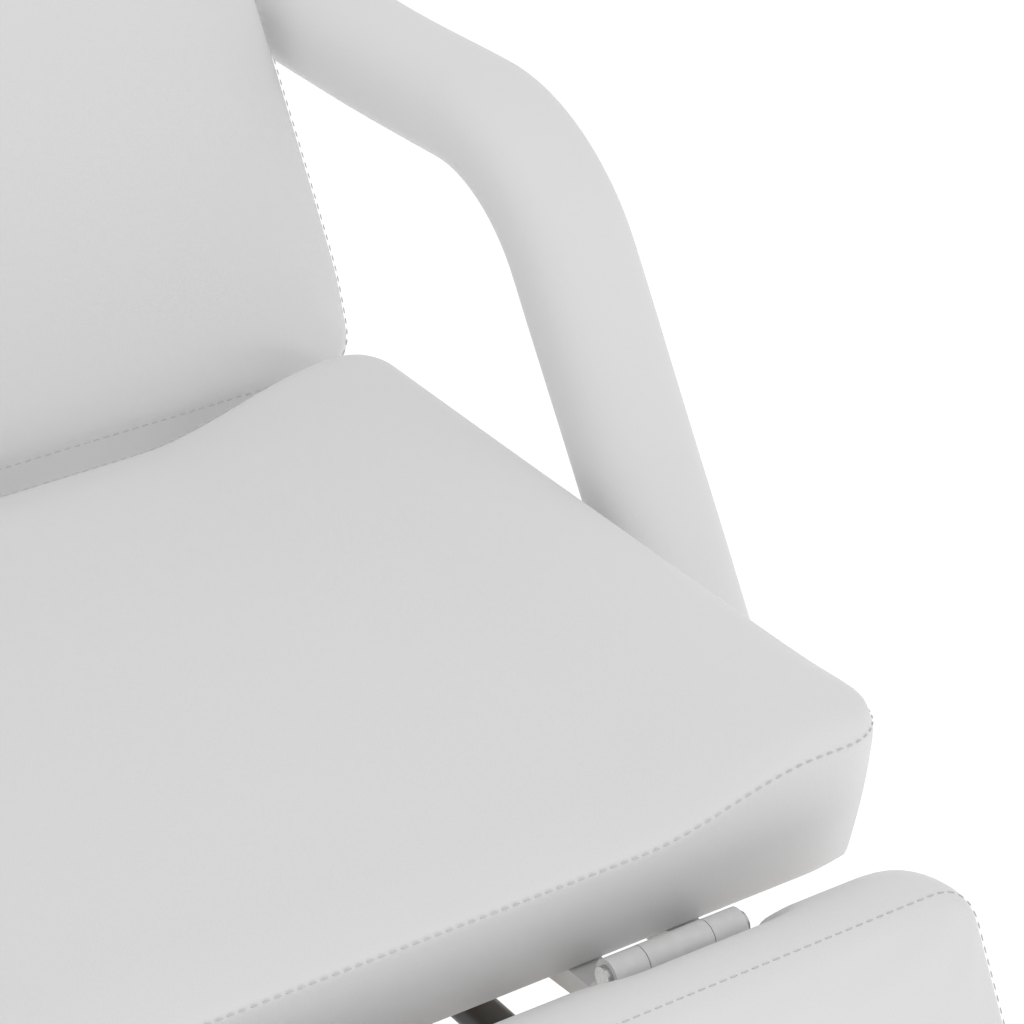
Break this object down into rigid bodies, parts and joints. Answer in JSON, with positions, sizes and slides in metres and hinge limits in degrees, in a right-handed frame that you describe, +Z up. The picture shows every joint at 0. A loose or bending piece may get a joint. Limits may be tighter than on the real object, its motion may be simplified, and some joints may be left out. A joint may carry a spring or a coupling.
{
  "type": "facial treatment bed",
  "caption": "Upholstered treatment bed set up as a chair: tilting backrest, dished seat, lowering leg rest, bent padded armrests and a round hydraulic swivel base.",
  "frame": {"origin": "on the floor, under the centre of the column, in the base plate's underside", "axes": "+Z up, +Y from the leg rest towards the backrest, +X to the sitter's left hand, across the bed"},
  "size_m": [0.738, 1.2061, 1.3596],
  "materials": {
    "white_leatherette": "soft satin, fine grain",
    "plywood": "sealed birch ply",
    "white_frame": "satin white powder coat",
    "chrome": "polished",
    "zinc_steel": "zinc plated",
    "black_steel": "satin black",
    "black_rubber": "matt",
    "black_plastic": "fine texture",
    "bronze_bush": "machined"
  },
  "bodies": {
    "base": {"base_plate": "black_steel", "base_edge_trim": "black_rubber", "base_cover": "chrome", "base_bolts": "zinc_steel", "pump_cylinder": "white_frame", "guide_bush": "bronze_bush", "pump_block": "black_steel", "pedal_pin": "zinc_steel"},
    "pedal": {"pump_pedal": "black_steel", "pedal_rubber": "black_rubber"},
    "plunger": {"pump_plunger": "zinc_steel"},
    "lift": {"lift_ram": "chrome", "swivel_washer": "bronze_bush"},
    "seat": {"seat_hub": "white_frame", "seat_mount_plate": "white_frame", "mount_bolts": "zinc_steel", "seat_side_rails": "white_frame", "seat_cross_rails": "white_frame", "rail_end_caps": "black_plastic", "seat_board": "plywood", "seat_cushion": "white_leatherette", "backrest_hinge_ears": "white_frame", "backrest_hinge_pins": "zinc_steel", "legrest_hinge_seat_leaves": "white_frame", "legrest_hinge_pins": "zinc_steel", "armrest_sockets": "white_frame", "gas_anchor_brackets": "white_frame", "backrest_gas_rod": "chrome", "legrest_gas_rod": "chrome", "lever_brackets": "white_frame"},
    "backrest": {"backrest_cushion": "white_leatherette", "backrest_board": "plywood", "backrest_side_tubes": "white_frame", "backrest_cross_tubes": "white_frame", "backrest_crank": "white_frame", "backrest_crank_pin": "zinc_steel", "headrest_sockets": "white_frame"},
    "backrest_gas_spring": {"backrest_gas_cylinder": "black_steel"},
    "headrest_slide": {"headrest_carrier": "chrome"},
    "headrest": {"headrest_cushion": "white_leatherette", "headrest_board": "plywood", "headrest_brackets": "white_frame"},
    "legrest": {"legrest_cushion": "white_leatherette", "legrest_board": "plywood", "legrest_cross_tubes": "white_frame", "legrest_side_tubes": "white_frame", "legrest_hinge_leaves": "white_frame", "legrest_crank": "white_frame", "legrest_crank_pin": "zinc_steel"},
    "legrest_gas_spring": {"legrest_gas_cylinder": "black_steel"},
    "armrest_left": {"armrest_frame_left": "white_frame", "armrest_pad_left": "white_leatherette"},
    "armrest_right": {"armrest_frame_right": "white_frame", "armrest_pad_right": "white_leatherette"},
    "knob_left": {"clamp_knob_left": "black_plastic"},
    "knob_right": {"clamp_knob_right": "black_plastic"},
    "backrest_release": {"backrest_lever": "chrome", "backrest_lever_grip": "black_plastic"},
    "legrest_release": {"legrest_lever": "chrome", "legrest_lever_grip": "black_plastic"}
  },
  "joints": [
    {"name": "lift_slide", "type": "slide", "parent": "base", "child": "lift", "axis": [0, 0, 1], "range_m": [0, 0.16]},
    {"name": "seat_swivel", "type": "hinge", "parent": "lift", "child": "seat", "pos_m": [0, 0, 0.44], "axis": [0, 0, 1], "continuous": true},
    {"name": "pedal_pump", "type": "hinge", "parent": "base", "child": "pedal", "pos_m": [0, 0.07, 0.118], "axis": [-1, 0, 0], "range_deg": [0, 16], "stiffness_Nm_per_rad": 12, "springref_deg": -17.19},
    {"name": "plunger_slide", "type": "slide", "parent": "base", "child": "plunger", "axis": [0, 0, -1], "range_m": [0, 0.0085]},
    {"name": "backrest_recline", "type": "hinge", "parent": "seat", "child": "backrest", "pos_m": [0, 0.316, 0.512], "axis": [-1, 0, 0], "range_deg": [0, 65]},
    {"name": "backrest_gas_slide", "type": "slide", "parent": "seat", "child": "backrest_gas_spring", "axis": [0, 1, 0], "range_m": [-0.088, 0.001]},
    {"name": "headrest_height", "type": "slide", "parent": "backrest", "child": "headrest_slide", "axis": [0, 0.4226, 0.9063], "range_m": [0, 0.07]},
    {"name": "headrest_tilt", "type": "hinge", "parent": "headrest_slide", "child": "headrest", "pos_m": [0, 0.623, 1.17983], "axis": [1, 0, 0], "range_deg": [-30, 25]},
    {"name": "legrest_tilt", "type": "hinge", "parent": "seat", "child": "legrest", "pos_m": [0, -0.248, 0.543], "axis": [-1, 0, 0], "range_deg": [-10, 62.7]},
    {"name": "legrest_gas_slide", "type": "slide", "parent": "seat", "child": "legrest_gas_spring", "axis": [0, 1, 0], "range_m": [-0.08, 0.0135]},
    {"name": "armrest_left_slide", "type": "slide", "parent": "seat", "child": "armrest_left", "axis": [-1, 0, 0], "range_m": [0, 0.11]},
    {"name": "armrest_right_slide", "type": "slide", "parent": "seat", "child": "armrest_right", "axis": [1, 0, 0], "range_m": [0, 0.11]},
    {"name": "knob_left_turn", "type": "hinge", "parent": "seat", "child": "knob_left", "pos_m": [-0.262, -0.0384, 0.46], "axis": [0, 0, 1], "continuous": true},
    {"name": "knob_right_turn", "type": "hinge", "parent": "seat", "child": "knob_right", "pos_m": [0.262, -0.0384, 0.46], "axis": [0, 0, 1], "continuous": true},
    {"name": "backrest_lever_pull", "type": "hinge", "parent": "seat", "child": "backrest_release", "pos_m": [-0.235, -0.1825, 0.45426], "axis": [1, 0, 0], "range_deg": [0, 15], "stiffness_Nm_per_rad": 1.5, "springref_deg": -17.19},
    {"name": "legrest_lever_pull", "type": "hinge", "parent": "seat", "child": "legrest_release", "pos_m": [0.235, 0.2105, 0.4903], "axis": [-1, 0, 0], "range_deg": [0, 15], "stiffness_Nm_per_rad": 1.5, "springref_deg": -17.19}
  ],
  "couplings": [
    {"joint": "backrest_gas_slide", "follows": "backrest_recline", "m_per_rad": -0.07578},
    {"joint": "legrest_gas_slide", "follows": "legrest_tilt", "m_per_rad": -0.0722},
    {"joint": "plunger_slide", "follows": "pedal_pump", "m_per_rad": 0.0285}
  ]
}
